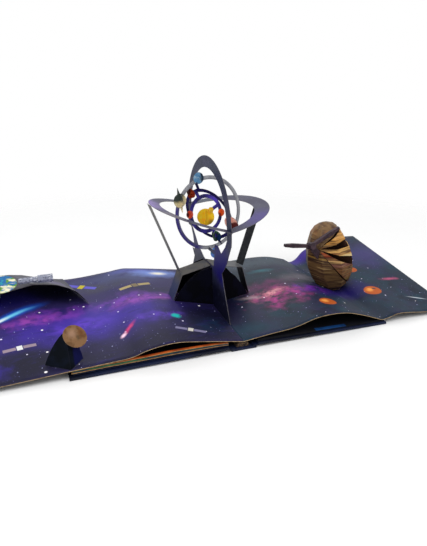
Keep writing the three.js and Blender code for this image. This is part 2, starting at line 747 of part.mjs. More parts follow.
function probeHub(grow) {
  return disc(probe.hub, [0.2, -1, 0.2], probe.hubSize / 2 + grow, probe.hubSize + 2 * grow, 8);
}

add('probe_hub', probeHub(0), 0x2a2230, 0.7);
const clearOfProbe = joined([probeHub(seat), globeEnvelope(seat)]);
for (const { name, tip, width, depth } of probe.arms) {
  add(name, largest(beam(probe.hub, tip, width, depth).subtract(clearOfProbe)), 0x34262e, 0.7);
}

// Moon and its stand on the left wing

const landing = (x, y) => [x, y, spreadHeight('left', -x, y)];

function moonStandSheet(thickness) {
  const foot = landing(...moonStand.foot);
  const left = landing(...moonStand.left);
  const right = landing(...moonStand.right);
  const sail = bow(left, [moonStand.left[0] + 6, moonStand.left[1] - 4, moonStand.peak[2] * 0.85], moonStand.peak, 6);
  const block = [moonStand.right[0] + 1, moonStand.right[1], moonStand.blockHeight + right[2]];
  return joined([
    panel([moonStand.peak, foot, left, ...sail.slice(1, -1)], thickness),
    panel([foot, moonStand.peak, block, right], thickness),
  ]);
}

const moonDisc = disc(moon.at, moon.facing, moon.radius, card, 28);
add('moon_disc', moonDisc, 0xa9713f, 0.6);
const overMoon = vec(moon.facing).normalize().multiplyScalar((moon.clear - card) / 2 - seat).add(vec(moon.at));
const moonGap = disc(overMoon.toArray(), moon.facing, moon.radius + seat, moon.clear, 28);
add('moon_stand', largest(onSpread(moonStandSheet(card)).subtract(moonGap)), 0x0e0f1a, 0.7);

// Arch flap over the left wing, open at its front edge

function flapOutlines(lift, depth) {
  const rest = card + flap.clearance;
  const archPoints = flap.arch.map(([reach, z]) => [
    reach,
    z === null ? spreadHeight('left', reach, flap.yFront) + rest : z,
  ]);
  const last = flap.arch.at(-1)[0];
  const first = flap.arch[0][0];
  const backPoints = archPoints.map(([reach]) => {
    const share = (reach - first) / (last - first);
    const at = THREE.MathUtils.lerp(flap.backFrom, last, share);
    const bulge = flap.backBulge * Math.sin(Math.PI * share);
    return [at, spreadHeight('left', at, pageHalf) + rest + bulge];
  });
  const close = (points) => {
    const top = points.map(([reach, z]) => [-reach, z + lift]);
    const bottom = points.map(([reach, z]) => [-reach, depth === null ? -boardThickness : z - depth]);
    return [...top, ...bottom.reverse()];
  };
  return [close(archPoints), close(backPoints)];
}

const flapShape = ruled(...flapOutlines(0, card), flap.yFront, pageHalf, true);
const underFlap = ruled(...flapOutlines(seat, null), flap.yFront, pageHalf, true);
add('arch_flap', flapShape, 0x4b4668, 0.6);

function earthDiscs() {
  const { at, radius, facing } = earth;
  const face = disc(at, facing, radius, card, 32);
  const keel = disc(at, [1, 0, 0], radius * 0.8, card, 24).intersect(
    box([at[0] - radius, at[0] + radius], [at[1] - radius, at[1] + radius], [0, at[2]]),
  );
  return largest(joined([face, keel]).subtract(underFlap));
}

function tube(from, to, radius) {
  const { y, axisHeight } = telescope;
  return disc([-(from + to) / 2, y, axisHeight], [1, 0, 0], radius, from - to, 8);
}

const scopeParts = {
  telescope_barrel: tube(telescope.from, telescope.step + seat, telescope.radius),
  telescope_bay: tube(telescope.step, telescope.to, telescope.bayRadius),
};
add('earth_discs', earthDiscs(), 0x3f8f9c, 0.5);
for (const [name, shape] of Object.entries(scopeParts)) {
  add(name, largest(shape.subtract(underFlap)), 0x8d9098, 0.45);
}

export default model;
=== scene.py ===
"""Looks of the pop-up book: printed sheets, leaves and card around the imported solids. Metres, +Z up."""

import math

import bpy
import numpy as np
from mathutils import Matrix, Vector


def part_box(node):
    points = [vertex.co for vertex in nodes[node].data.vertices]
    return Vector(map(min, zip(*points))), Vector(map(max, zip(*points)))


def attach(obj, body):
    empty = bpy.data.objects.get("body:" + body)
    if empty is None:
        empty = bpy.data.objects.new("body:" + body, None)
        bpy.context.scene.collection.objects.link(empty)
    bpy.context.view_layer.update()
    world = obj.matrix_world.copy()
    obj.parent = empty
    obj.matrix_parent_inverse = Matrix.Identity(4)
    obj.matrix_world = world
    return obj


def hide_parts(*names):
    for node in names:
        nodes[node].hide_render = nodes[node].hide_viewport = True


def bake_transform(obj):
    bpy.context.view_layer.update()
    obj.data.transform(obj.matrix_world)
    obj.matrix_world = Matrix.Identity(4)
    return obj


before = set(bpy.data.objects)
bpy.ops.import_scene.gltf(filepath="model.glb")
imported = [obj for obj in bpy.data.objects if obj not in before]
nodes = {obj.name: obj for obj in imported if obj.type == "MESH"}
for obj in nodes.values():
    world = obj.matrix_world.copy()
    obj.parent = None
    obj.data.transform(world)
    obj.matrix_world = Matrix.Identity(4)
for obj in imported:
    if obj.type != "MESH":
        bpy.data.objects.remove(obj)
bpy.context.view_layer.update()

MM = 0.001

# Camera, at the photograph's viewpoint

CAMERA_PLACE = Vector((-0.2381, -0.6738, 0.3306))
CAMERA_TURN, CAMERA_DIP = math.radians(19.9), math.radians(20.9)
CAMERA_LENS, SENSOR = 34.6, 36.0

forward = Vector((
    math.sin(CAMERA_TURN) * math.cos(CAMERA_DIP),
    math.cos(CAMERA_TURN) * math.cos(CAMERA_DIP),
    -math.sin(CAMERA_DIP),
))
lens = bpy.data.cameras.new("camera")
lens.lens, lens.sensor_width = CAMERA_LENS, SENSOR
camera = bpy.data.objects.new("camera", lens)
camera.location = CAMERA_PLACE
camera.rotation_mode = "QUATERNION"
camera.rotation_quaternion = forward.to_track_quat("-Z", "Y")
bpy.context.scene.collection.objects.link(camera)
bpy.context.scene.camera = camera
bpy.context.scene.view_settings.view_transform = "Standard"


# Materials


def srgb(red, green, blue):
    """A colour given as on screen, 0 to 255, as the linear values that shaders take."""
    def linear(c):
        c /= 255
        return c / 12.92 if c <= 0.04045 else ((c + 0.055) / 1.055) ** 2.4

    return (linear(red), linear(green), linear(blue), 1.0)


GRAIN_SIZE, GRAIN_STRENGTH = 0.6, 0.35
CLOUD_STEP = (37.1, 11.7, 5.3)  # from the clouds of one seed to those of the next
STAR_STEP = (17.3, 9.1)


class Paint:
    """A material built up in layers of colour. Places and sizes are millimetres: in the sheet's print map
    where mapped is true, or else in the row frame."""

    def __init__(self, name, base, roughness=0.5, mapped=False, specular=0.16, grain=0.02):
        self.material = bpy.data.materials.new(name)
        self.material.use_nodes = True
        self.tree = self.material.node_tree
        self.shader = self.tree.nodes["Principled BSDF"]
        self.shader.inputs["Roughness"].default_value = roughness
        self.shader.inputs["Specular IOR Level"].default_value = specular
        self.color = base
        if mapped:
            source = self.node("ShaderNodeUVMap")
            source.uv_map = "print"
            self.place = source.outputs["UV"]
        else:
            source = self.node("ShaderNodeTexCoord")
            scaled = self.node("ShaderNodeVectorMath", operation="SCALE")
            scaled.inputs["Scale"].default_value = 1 / MM
            self.link(source.outputs["Object"], scaled.inputs[0])
            self.place = scaled.outputs["Vector"]
        bump = self.node("ShaderNodeBump")
        bump.inputs["Strength"].default_value = GRAIN_STRENGTH
        bump.inputs["Distance"].default_value = grain * MM
        self.link(self.noise(GRAIN_SIZE, detail=3, seed=5), bump.inputs["Height"])
        self.link(bump.outputs["Normal"], self.shader.inputs["Normal"])

    def node(self, kind, **settings):
        made = self.tree.nodes.new(kind)
        for key, value in settings.items():
            setattr(made, key, value)
        return made

    def link(self, a, b):
        self.tree.links.new(a, b)

    def put(self, socket, value):
        if isinstance(value, bpy.types.NodeSocket):
            self.link(value, socket)
        else:
            socket.default_value = value

    def math(self, operation, a, b, clamp=False):
        node = self.node("ShaderNodeMath", operation=operation, use_clamp=clamp)
        self.put(node.inputs[0], a)
        self.put(node.inputs[1], b)
        return node.outputs[0]

    def ramp(self, value, low, high):
        """0 where value is low, 1 where it is high."""
        node = self.node("ShaderNodeMapRange", interpolation_type="SMOOTHSTEP")
        self.put(node.inputs["Value"], value)
        node.inputs["From Min"].default_value = low
        node.inputs["From Max"].default_value = high
        return node.outputs["Result"]

    def seen_from(self, center, size, angle=0.0):
        """The place as seen from center, in units of size. angle is a turn about Z in degrees, or three of
        them, about X, Y and Z."""
        node = self.node("ShaderNodeMapping", vector_type="TEXTURE")
        self.link(self.place, node.inputs["Vector"])
        turns = angle if isinstance(angle, tuple) else (0, 0, angle)
        node.inputs["Location"].default_value = tuple(center) + (0,) * (3 - len(center))
        node.inputs["Rotation"].default_value = tuple(math.radians(a) for a in turns)
        node.inputs["Scale"].default_value = tuple(size) + (1,) * (3 - len(size))
        return node.outputs["Vector"]

    def noise(self, size, detail, seed, stretch=(1, 1, 1), angle=0.0):
        """Clouds of about that size, as values round 0.5."""
        texture = self.node("ShaderNodeTexNoise")
        texture.inputs["Scale"].default_value = 1
        texture.inputs["Detail"].default_value = detail
        center = [seed * step for step in CLOUD_STEP]
        place = self.seen_from(center, [size * s for s in stretch], angle)
        self.link(place, texture.inputs["Vector"])
        return texture.outputs["Fac"]

    def mix(self, factor, color):
        node = self.node("ShaderNodeMix", data_type="RGBA")
        self.put(node.inputs[0], factor)
        self.put(node.inputs[6], self.color)
        self.put(node.inputs[7], color)
        self.color = node.outputs[2]
        return self

    def wash(self, color, size, low, high, seed, strength=1.0, stretch=(1, 1, 1), angle=0.0):
        """Colour in clouds of about that size."""
        cloud = self.ramp(self.noise(size, detail=5, seed=seed, stretch=stretch, angle=angle), low, high)
        return self.mix(self.math("MULTIPLY", cloud, strength), color)

    def blot(self, color, center, size, angle, soft, ragged, strength, seed, rag_size=14, wisps=0):
        """An ellipse of colour with half sides of that size. soft is the share of its radius over which it
        fades. ragged breaks up its edge in clouds of rag_size, and wisps, a size, breaks up all of it."""
        length = self.node("ShaderNodeVectorMath", operation="LENGTH")
        self.link(self.seen_from(center, size, angle), length.inputs[0])
        radius = length.outputs["Value"]
        if ragged:
            wobble = self.math("SUBTRACT", self.noise(rag_size, detail=6, seed=seed), 0.5)
            radius = self.math("ADD", radius, self.math("MULTIPLY", wobble, ragged))
        inside = self.ramp(radius, 1.0, 1.0 - soft)
        if wisps:
            torn = self.ramp(self.noise(wisps, detail=6, seed=seed + 20), 0.3, 0.62)
            inside = self.math("MULTIPLY", inside, torn)
        return self.mix(self.math("MULTIPLY", inside, strength), color)

    def bar(self, color, center, size, angle=0.0, soft=0.1):
        """A rectangle of colour with half sides of that size. soft is the share of each that fades."""
        split = self.node("ShaderNodeSeparateXYZ")
        self.link(self.seen_from(center, size, angle), split.inputs[0])
        along_x = self.math("ABSOLUTE", split.outputs[0], 0)
        along_y = self.math("ABSOLUTE", split.outputs[1], 0)
        across = self.math("MAXIMUM", along_x, along_y)
        return self.mix(self.ramp(across, 1.0, 1.0 - soft), color)

    def layer(self, color, low, high, soft, ragged, seed, strength):
        """A level stripe between two heights in millimetres."""
        split = self.node("ShaderNodeSeparateXYZ")
        self.link(self.place, split.inputs[0])
        waves = self.noise(size=12, detail=4, seed=seed, stretch=(2, 2, 0.6))
        wobble = self.math("SUBTRACT", waves, 0.5)
        height = self.math("ADD", split.outputs[2], self.math("MULTIPLY", wobble, 2 * ragged))
        above = self.ramp(height, low - soft, low + soft)
        below = self.ramp(height, high + soft, high - soft)
        return self.mix(self.math("MULTIPLY", self.math("MULTIPLY", above, below), strength), color)

    def stars(self, size, share, radius, color, seed):
        """Round dots, one in that share of the cells of about that size."""
        texture = self.node("ShaderNodeTexVoronoi", voronoi_dimensions="2D")
        texture.inputs["Scale"].default_value = 1
        center = [seed * step for step in STAR_STEP]
        self.link(self.seen_from(center, (size, size)), texture.inputs["Vector"])
        split = self.node("ShaderNodeSeparateColor")
        self.link(texture.outputs["Color"], split.inputs[0])
        chosen = self.math("LESS_THAN", split.outputs[0], share)
        reach = self.math("MULTIPLY", split.outputs[1], radius / size)
        out = self.math("DIVIDE", texture.outputs["Distance"], reach)
        dot = self.math("SUBTRACT", 1.0, out, clamp=True)
        return self.mix(self.math("MULTIPLY", chosen, self.ramp(dot, 0.0, 0.5)), color)

    def done(self):
        self.put(self.shader.inputs["Base Color"], self.color)
        return self.material


def plain(name, first, second, roughness, size):
    """One printed colour that a second one clouds over."""
    paint = Paint(name, srgb(*first), roughness)
    return paint.wash(srgb(*second), size, 0.35, 0.7, seed=2, strength=0.8).done()


edge_paper = plain("cut_edge", (182, 156, 118), (116, 94, 68), 0.85, 4)
edge_dark = plain("cut_edge_dark", (104, 98, 100), (54, 48, 56), 0.8, 5)
edge_black = plain("cut_edge_black", (40, 38, 48), (16, 16, 26), 0.8, 5)

# Cell size, share of the cells with a star, largest radius and colour

STARS = [
    (6, 0.2, 0.5, (130, 130, 200)),
    (14, 0.25, 0.9, (180, 185, 235)),
    (32, 0.45, 1.8, (230, 226, 255)),
    (52, 0.35, 2.4, (255, 252, 255)),
]


def sprinkle(paint):
    """Fine dust of stars, middling ones and a few bright ones."""
    paint.wash(srgb(110, 100, 180), 2.2, 0.62, 0.8, seed=11, strength=0.3)
    for i, (size, share, radius, color) in enumerate(STARS):
        paint.stars(size, share, radius, srgb(*color), seed=i + 1)


WING_OUT = 15  # middle of a craft to the middle of its wing
WING_SIZE, BODY_SIZE = (10, 4), (4.5, 6)


def craft(sky, at, wings, body, angle, scale=1.0):
    """A plain small craft: two bars for wings and one across them."""
    turn = math.radians(angle)
    for out in (-WING_OUT * scale, WING_OUT * scale):
        place = (at[0] + out * math.cos(turn), at[1] + out * math.sin(turn))
        sky.bar(wings, place, [scale * half for half in WING_SIZE], angle)
    sky.bar(body, at, [scale * half for half in BODY_SIZE], angle)


# Printed sky of the left half: violet between slate edges, with a magenta band and small bodies, and
# painted shade by the gutter


def left_sky():
    sky = Paint("print_and_shade_left", srgb(42, 35, 84), 0.55, mapped=True)
    sky.wash(srgb(30, 28, 62), 60, 0.42, 0.62, seed=9, strength=0.9)
    sky.blot(srgb(60, 40, 150), (-186, -26), (184, 66), 2, 0.9, 0.9, 0.95, seed=2, rag_size=44)
    sky.blot(srgb(66, 72, 112), (-112, 100), (110, 48), -4, 0.9, 0.6, 0.95, seed=2, rag_size=40)
    sky.blot(srgb(56, 56, 70), (-150, 76), (70, 26), 0, 1.0, 0.8, 0.8, seed=12, rag_size=30)
    sky.blot(srgb(96, 104, 186), (-84, 118), (62, 16), -3, 1.0, 0.5, 0.8, seed=3, rag_size=30)
    sky.blot(srgb(22, 20, 44), (-110, -118), (170, 50), 4, 0.8, 0.6, 0.95, seed=5, rag_size=30)
    sky.blot(srgb(16, 15, 36), (-262, -106), (100, 46), 8, 0.8, 0.7, 0.95, seed=7, rag_size=34)
    sky.blot(srgb(40, 36, 128), (-282, 60), (56, 44), 10, 0.9, 0.6, 0.95, seed=13, rag_size=30)
    sky.blot(srgb(46, 34, 124), (-304, -100), (44, 22), -20, 1.0, 1.4, 0.8, seed=17, rag_size=16, wisps=12)
    # Painted shade by the gutter, where the pop-up shades the page, over the print's own dark navy
    sky.blot(srgb(9, 9, 34), (-26, -62), (66, 100), 0, 0.9, 0.5, 0.98, seed=5, rag_size=30)
    sky.blot(srgb(12, 34, 62), (-30, -84), (50, 36), 0, 1.0, 0.9, 0.8, seed=6, rag_size=20, wisps=14)
    sky.blot(srgb(96, 58, 200), (-192, -26), (64, 26), 4, 1.0, 1.2, 0.85, seed=10, rag_size=24, wisps=20)
    sky.blot(srgb(96, 60, 190), (-92, -48), (56, 19), 3, 1.0, 1.4, 0.75, seed=28, rag_size=24, wisps=14)
    sky.blot(srgb(112, 58, 166), (-118, 14), (100, 30), 1, 1.0, 1.6, 0.95, seed=8, rag_size=26, wisps=16)
    sky.blot(srgb(114, 56, 170), (-224, 8), (90, 32), 14, 1.0, 1.6, 0.95, seed=9, rag_size=26, wisps=16)
    sky.blot(srgb(164, 80, 182), (-92, 10), (56, 15), 2, 1.0, 2.0, 0.75, seed=14, rag_size=20, wisps=9)
    sky.blot(srgb(162, 74, 176), (-250, 0), (60, 20), 16, 1.0, 2.0, 0.75, seed=15, rag_size=20, wisps=9)
    sky.wash(srgb(36, 30, 88), 9, 0.52, 0.72, seed=16, strength=0.45, stretch=(2.4, 1, 1), angle=8)
    sprinkle(sky)
    sky.blot(srgb(126, 152, 226), (-54, 106), (56, 24), 0, 1.0, 0.7, 0.9, seed=3)
    sky.blot(srgb(252, 246, 222), (-52, 106), (19, 9), 0, 1.0, 0.3, 1.0, seed=3)
    sky.blot(srgb(20, 90, 214), (-268, 22), (62, 12), 36, 1.0, 0.3, 0.95, seed=1)
    sky.blot(srgb(120, 220, 255), (-278, 14), (52, 5.6), 36, 1.0, 0.2, 0.95, seed=1)
    sky.blot(srgb(250, 252, 250), (-294, 2), (26, 4.6), 36, 1.0, 0.2, 1.0, seed=1)
    sky.blot(srgb(214, 60, 120), (-134, -64), (24, 5), 54, 1.0, 0.6, 0.95, seed=4, rag_size=6)
    sky.blot(srgb(255, 214, 236), (-143, -76), (9, 4.4), 54, 0.9, 0.4, 1.0, seed=4, rag_size=6)
    sky.blot(srgb(10, 180, 176), (-68, -54), (9, 9), 40, 0.7, 1.0, 1.0, seed=5, rag_size=8)
    craft(sky, (-100, 58), srgb(172, 154, 104), srgb(120, 106, 78), 12)
    craft(sky, (-176, 92), srgb(92, 86, 196), srgb(190, 176, 40), -34)
    craft(sky, (-60, -96), srgb(120, 116, 150), srgb(206, 202, 192), 158, 0.8)
    craft(sky, (-268, -62), srgb(150, 132, 146), srgb(226, 226, 226), 8, 0.8)
    return sky.done()


# Printed sky of the right half: slate and teal, with a pink cloud and orange bodies


def right_sky():
    sky = Paint("print_right", srgb(26, 38, 54), 0.55, mapped=True)
    sky.wash(srgb(18, 50, 66), 34, 0.44, 0.64, seed=3, strength=0.75)
    sky.wash(srgb(38, 34, 66), 50, 0.48, 0.68, seed=5, strength=0.7)
    sky.wash(srgb(14, 18, 34), 24, 0.52, 0.7, seed=8, strength=0.7)
    sky.blot(srgb(66, 78, 90), (104, 104), (120, 40), 0, 0.9, 0.5, 0.9, seed=2, rag_size=30)
    sky.blot(srgb(48, 110, 124), (112, 62), (34, 11), 0, 1.0, 1.2, 0.8, seed=12, rag_size=16)
    sky.blot(srgb(104, 98, 110), (156, 22), (52, 26), 14, 1.0, 0.9, 0.85, seed=13, rag_size=22)
    sky.blot(srgb(18, 14, 48), (14, -40), (34, 92), 0, 0.8, 0.5, 0.96, seed=3, rag_size=24)
    sky.blot(srgb(22, 52, 70), (24, -104), (50, 24), 0, 1.0, 0.8, 0.8, seed=14)
    sky.blot(srgb(28, 10, 92), (186, -40), (62, 36), 6, 0.9, 1.1, 0.97, seed=4, rag_size=26)
    sky.blot(srgb(18, 10, 82), (228, -40), (34, 46), 20, 0.9, 1.0, 0.9, seed=15, rag_size=24)
    sky.blot(srgb(110, 32, 156), (144, -32), (46, 30), 10, 1.0, 1.4, 0.95, seed=16, rag_size=20, wisps=10)
    sky.blot(srgb(104, 44, 92), (84, 4), (70, 42), 8, 1.0, 1.6, 0.9, seed=17, rag_size=26, wisps=18)
    sky.blot(srgb(180, 58, 138), (98, -40), (60, 40), 4, 1.0, 1.6, 0.9, seed=5, rag_size=24, wisps=9)
    sky.blot(srgb(222, 118, 148), (86, -26), (40, 20), 10, 1.0, 1.6, 0.9, seed=6, rag_size=16, wisps=6)
    sky.blot(srgb(242, 176, 180), (92, -23), (24, 9), 14, 1.0, 1.2, 0.9, seed=18, rag_size=8, wisps=5)
    sky.blot(srgb(40, 26, 56), (106, -45), (19, 13), 0, 1.0, 1.6, 0.9, seed=7, rag_size=9)
    sky.blot(srgb(172, 150, 158), (56, -22), (26, 8), -16, 1.0, 1.1, 0.75, seed=8, rag_size=12)
    sky.wash(srgb(34, 30, 58), 7, 0.56, 0.74, seed=19, strength=0.5)
    sky.blot(srgb(62, 40, 140), (216, 122), (44, 30), -20, 0.9, 0.7, 0.95, seed=20, rag_size=20)
    sky.blot(srgb(62, 54, 108), (306, 54), (74, 64), 10, 1.0, 0.8, 0.8, seed=21, rag_size=30)
    sprinkle(sky)
    for place, radius in [((148, -86), 13), ((246, -56), 14), ((256, 16), 9)]:
        sky.blot(srgb(178, 84, 30), place, (radius, radius), 0, 0.12, 0.1, 1.0, seed=9)
        glow = (place[0] - radius * 0.25, place[1] + radius * 0.2)
        glow_size = (radius * 0.66, radius * 0.6)
        sky.blot(srgb(244, 160, 74), glow, glow_size, 30, 0.9, 0.9, 0.95, seed=9, rag_size=5)
    sky.blot(srgb(60, 50, 60), (251, -52), (4, 2.4), 0, 0.4, 0.3, 0.9, seed=9)
    sky.blot(srgb(196, 204, 214), (300, -92), (20, 1.8), -30, 0.8, 0.3, 0.95, seed=1)
    sky.blot(srgb(186, 84, 120), (296, -30), (20, 6), -12, 1.0, 0.8, 0.85, seed=2, rag_size=8)
    return sky.done()


left_face, right_face = left_sky(), right_sky()
under_face = plain("sheet_underside", (10, 10, 18), (20, 18, 34), 0.8, 40)


# Sheets of paper

NEAR = 0.1 * MM


def edge_profile(node, y):
    """The upper outline of a CAD sheet at one end, as [x, z]."""
    tops = {}
    for v in nodes[node].data.vertices:
        if abs(v.co.y - y) < NEAR:
            key = round(v.co.x, 4)
            tops[key] = max(tops.get(key, -1), v.co.z)
    return np.array(sorted(tops.items()))


def smooth(profile, xs):
    """Heights of a smooth curve through a profile's points."""
    px, pz = profile[:, 0], profile[:, 1]
    slopes = np.gradient(pz, px)
    i = np.clip(np.searchsorted(px, xs) - 1, 0, len(px) - 2)
    w = px[i + 1] - px[i]
    t = np.clip((xs - px[i]) / w, 0, 1)
    return (
        (2 * t**3 - 3 * t**2 + 1) * pz[i]
        + (t**3 - 2 * t**2 + t) * w * slopes[i]
        + (-2 * t**3 + 3 * t**2) * pz[i + 1]
        + (t**3 - t**2) * w * slopes[i + 1]
    )


def sheet(name, xs, ys, height, thickness, materials):
    """A closed sheet over a grid. height(x, y) is its upper face, and thickness a number or a function of
    x and y. Materials are top, underside and cut edge."""
    nx, ny = len(xs), len(ys)
    gx, gy = np.meshgrid(xs, ys, indexing="ij")
    top = np.stack([gx, gy, height(gx, gy)], -1).reshape(-1, 3)
    low = top.copy()
    low[:, 2] -= thickness(gx, gy).ravel() if callable(thickness) else thickness
    count = nx * ny
    faces, kinds = [], []

    def at(i, j):
        return i * ny + j

    for i in range(nx - 1):
        for j in range(ny - 1):
            ring = [at(i, j), at(i + 1, j), at(i + 1, j + 1), at(i, j + 1)]
            if xs[-1] < xs[0]:
                ring.reverse()
            faces += [ring, [count + k for k in reversed(ring)]]
            kinds += [0, 1]
    rim = [at(i, 0) for i in range(nx)] + [at(nx - 1, j) for j in range(1, ny)]
    rim += [at(i, ny - 1) for i in range(nx - 2, -1, -1)] + [at(0, j) for j in range(ny - 2, 0, -1)]
    for a, b in zip(rim, rim[1:] + rim[:1]):
        side = [b, a, count + a, count + b]
        faces.append(side if xs[-1] > xs[0] else side[::-1])
        kinds.append(2)
    mesh = bpy.data.meshes.new(name)
    mesh.from_pydata(np.concatenate([top, low]).tolist(), [], faces)
    for material in materials:
        mesh.materials.append(material)
    mesh.polygons.foreach_set("material_index", kinds)
    mesh.polygons.foreach_set("use_smooth", [k < 2 for k in kinds])
    layer = mesh.uv_layers.new(name="print")
    points = np.concatenate([top, low])[:, :2] / MM
    loops = np.zeros(len(mesh.loops), int)
    mesh.loops.foreach_get("vertex_index", loops)
    layer.data.foreach_set("uv", points[loops].ravel())
    mesh.update()
    piece = bpy.data.objects.new(name, mesh)
    bpy.context.scene.collection.objects.link(piece)
    return piece


# Spread and wings, as two smooth sheets through the outlines of the solids

SHEET = 0.7 * MM
PAGE_HALF = 129 * MM
WING_REACH = 332 * MM
STEPS_ACROSS, STEPS_DEEP = 150, 40

profiles = {}
for side, sign in (("left", -1), ("right", 1)):
    front, back = edge_profile(f"spread_{side}", -PAGE_HALF), edge_profile(f"spread_{side}", PAGE_HALF)
    gutter = [edge_profile("gutter_strip", y) for y in (-PAGE_HALF, PAGE_HALF)]
    both = []
    for line, strip in zip((front, back), gutter):
        inner = strip[strip[:, 0] * sign >= -1e-6]
        joined = np.concatenate([line, inner])
        both.append(joined[np.argsort(joined[:, 0])])
    profiles[side] = both


def spread_height(side):
    """Height of one half of the spread, straight from its front outline to its back outline."""
    front, back = profiles[side]

    def height(x, y):
        t = (y + PAGE_HALF) / (2 * PAGE_HALF)
        low = smooth(front, x.ravel()).reshape(x.shape)
        high = smooth(back, x.ravel()).reshape(x.shape)
        return low + (high - low) * t

    return height


for side, sign, face in (("left", -1, left_face), ("right", 1, right_face)):
    xs = np.linspace(0, sign * WING_REACH, STEPS_ACROSS)
    ys = np.linspace(-PAGE_HALF, PAGE_HALF, STEPS_DEEP)
    piece = sheet(f"printed_{side}", xs, ys, spread_height(side), SHEET, [face, under_face, edge_paper])
    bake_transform(piece)
    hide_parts(f"spread_{side}", *(["gutter_strip"] if side == "left" else []))


# Card pieces: print on the faces, paper on the cut edges

TRIED_FACES = 40  # the largest faces, whose directions are tried
SAME_WAY = 0.995  # cosine above which two faces lie the same way


def dress(node, face, edge=edge_dark, share=0.08):
    """Gives a card node its print on the broad sides and the cut edge's material on the rest. Faces that
    lie the same way are a broad side where they have more than that share of the node's area."""
    data = nodes[node].data
    data.materials.clear()
    data.materials.append(face)
    data.materials.append(edge)
    count = len(data.polygons)
    normals = np.zeros(count * 3)
    areas = np.zeros(count)
    data.polygons.foreach_get("normal", normals)
    data.polygons.foreach_get("area", areas)
    normals = normals.reshape(-1, 3)
    broad = np.zeros(count, bool)
    for n in normals[np.argsort(-areas)[:TRIED_FACES]]:
        along = normals @ n > SAME_WAY
        if areas[along].sum() > share * areas.sum():
            broad |= along
    data.polygons.foreach_set("material_index", np.where(broad, 0, 1).tolist())
    data.update()


def cover(node, material):
    """Gives a node one material all over."""
    data = nodes[node].data
    data.materials.clear()
    data.materials.append(material)
    data.polygons.foreach_set("material_index", [0] * len(data.polygons))
    data.update()


def middle(node):
    """The middle of a node's box, in millimetres."""
    low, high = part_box(node)
    return (low + high) / 2 / MM


# Case: navy wrap with paler scuffs

case_face = Paint("case_wrap", srgb(12, 16, 32), 0.4)
case_face.wash(srgb(22, 30, 58), 60, 0.4, 0.7, seed=2)
case_face.wash(srgb(50, 58, 84), 5, 0.68, 0.82, seed=4, strength=0.4)
case_wrap = case_face.done()
for node in ("spine_board", "cover_left", "cover_right", "groove_cloth_left", "groove_cloth_right"):
    cover(node, case_wrap)
cover("leaf_backs", plain("leaf_folds", (30, 25, 28), (104, 82, 58), 0.85, 2))

# Upright ring card, level ring and orbits


def ring_print():
    face = Paint("print_ring", srgb(38, 43, 66), 0.5)
    face.wash(srgb(52, 52, 80), 26, 0.42, 0.62, seed=3, strength=0.8)
    face.wash(srgb(28, 40, 62), 14, 0.52, 0.7, seed=8, strength=0.7)
    face.blot(srgb(18, 8, 96), (0, -46, 88), (20, 46, 46), 0, 0.7, 0.5, 0.98, seed=4)
    face.blot(srgb(60, 54, 98), (0, 52, 92), (20, 30, 26), 0, 0.8, 0.4, 0.9, seed=5)
    face.blot(srgb(3, 3, 24), (0, -30, 22), (20, 90, 48), 0, 0.6, 0.3, 0.97, seed=6)
    face.blot(srgb(150, 150, 164), (0, -66, 44), (4, 36, 0.9), (61.3, 0, 0), 0.5, 0.3, 0.85, seed=7)
    return face.wash(srgb(84, 90, 124), 3.4, 0.62, 0.78, seed=7, strength=0.5).done()


def level_print():
    face = Paint("print_level", srgb(58, 58, 80), 0.5)
    face.wash(srgb(44, 42, 68), 30, 0.42, 0.62, seed=2)
    face.blot(srgb(132, 112, 176), (-86, 20, 165), (34, 60, 30), 0, 0.9, 0.5, 0.95, seed=3)
    face.blot(srgb(112, 106, 116), (-62, -42, 160), (26, 26, 20), 0, 0.9, 0.4, 0.9, seed=4)
    face.blot(srgb(62, 48, 118), (50, -60, 152), (44, 44, 30), 0, 0.9, 0.6, 0.95, seed=5)
    face.blot(srgb(66, 78, 92), (40, 84, 150), (60, 26, 30), 0, 0.9, 0.4, 0.9, seed=6)
    return face.wash(srgb(104, 104, 140), 4, 0.6, 0.78, seed=5, strength=0.5).done()


def orbit_print():
    face = Paint("print_orbit_outer", srgb(150, 151, 156), 0.5)
    face.blot(srgb(50, 40, 112), (-52, 0, 118), (52, 60, 52), 0, 0.3, 0.1, 0.98, seed=3)
    face.blot(srgb(96, 96, 104), (1.6, 8, 145.5), (49.4, 60, 49.4), 0, 0.03, 0.0, 0.5, seed=3)
    return face.wash(srgb(100, 102, 116), 8, 0.5, 0.72, seed=2, strength=0.5).done()


dress("ring_card", ring_print())
dress("level_ring", level_print())
dress("orbit_outer", orbit_print())
dress("orbit_middle", plain("print_orbit_middle", (30, 24, 84), (10, 10, 30), 0.5, 14))
inner_face = Paint("print_orbit_inner", srgb(42, 32, 112), 0.5)
inner_face.wash(srgb(20, 18, 60), 9, 0.45, 0.65, seed=2)
inner_face.blot(srgb(78, 58, 176), (12, 8, 162), (14, 20, 12), 0, 0.8, 0.4, 0.9, seed=3)
dress("orbit_inner", inner_face.done())

# Bridge strap

bridge_face = Paint("print_bridge", srgb(66, 62, 58), 0.5)
bridge_face.wash(srgb(44, 44, 50), 12, 0.4, 0.65, seed=2)
bridge_face.blot(srgb(96, 98, 102), (34, 10, 66), (30, 40, 16), 0, 0.7, 0.5, 0.9, seed=3)
bridge_face.blot(srgb(42, 50, 84), (-56, 10, 30), (26, 60, 34), 0, 0.6, 0.4, 0.97, seed=4)
bridge_face.blot(srgb(12, 12, 24), (62, 10, 26), (20, 60, 32), 0, 0.5, 0.3, 0.97, seed=5)
dress("bridge_strap", bridge_face.done())

# V-folds and the moon's stand

